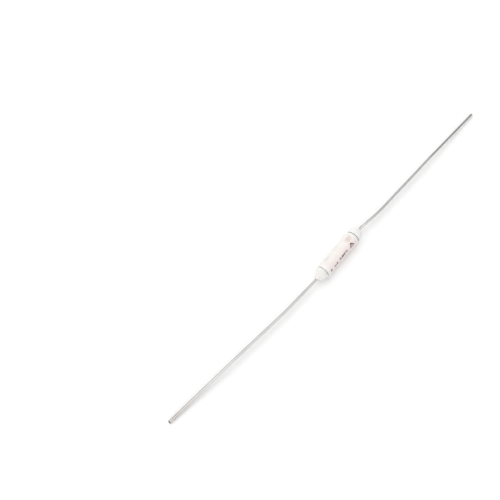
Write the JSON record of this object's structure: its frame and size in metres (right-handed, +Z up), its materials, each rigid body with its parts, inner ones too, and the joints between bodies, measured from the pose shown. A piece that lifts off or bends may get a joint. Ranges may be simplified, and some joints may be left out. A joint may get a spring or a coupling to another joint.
{
  "type": "thermal fuse",
  "caption": "Axial thermal fuse: a white ceramic tube closed by grey washers and resin domes, with tinned wire leads, opens a circuit once when it gets too hot.",
  "frame": {"origin": "middle of the ceramic tube, on its axis", "axes": "+X along the tube to the right lead, +Z up from the surface that the fuse lies on"},
  "size_m": [0.0929, 0.0065, 0.003],
  "materials": {
    "ceramic": "unglazed white ceramic",
    "washer": "dull grey metal",
    "seal": "cast white resin, half gloss",
    "lead": "tinned copper wire",
    "link": "dull low-melting alloy",
    "flux": "amber resin flux"
  },
  "bodies": {
    "root": {"ceramic_tube": "ceramic", "end_washer_left": "washer", "end_washer_right": "washer", "seal_left": "seal", "seal_right": "seal", "lead_left": "lead", "lead_right": "lead", "fusible_link": "link", "flux_coat": "flux"}
  },
  "joints": []
}
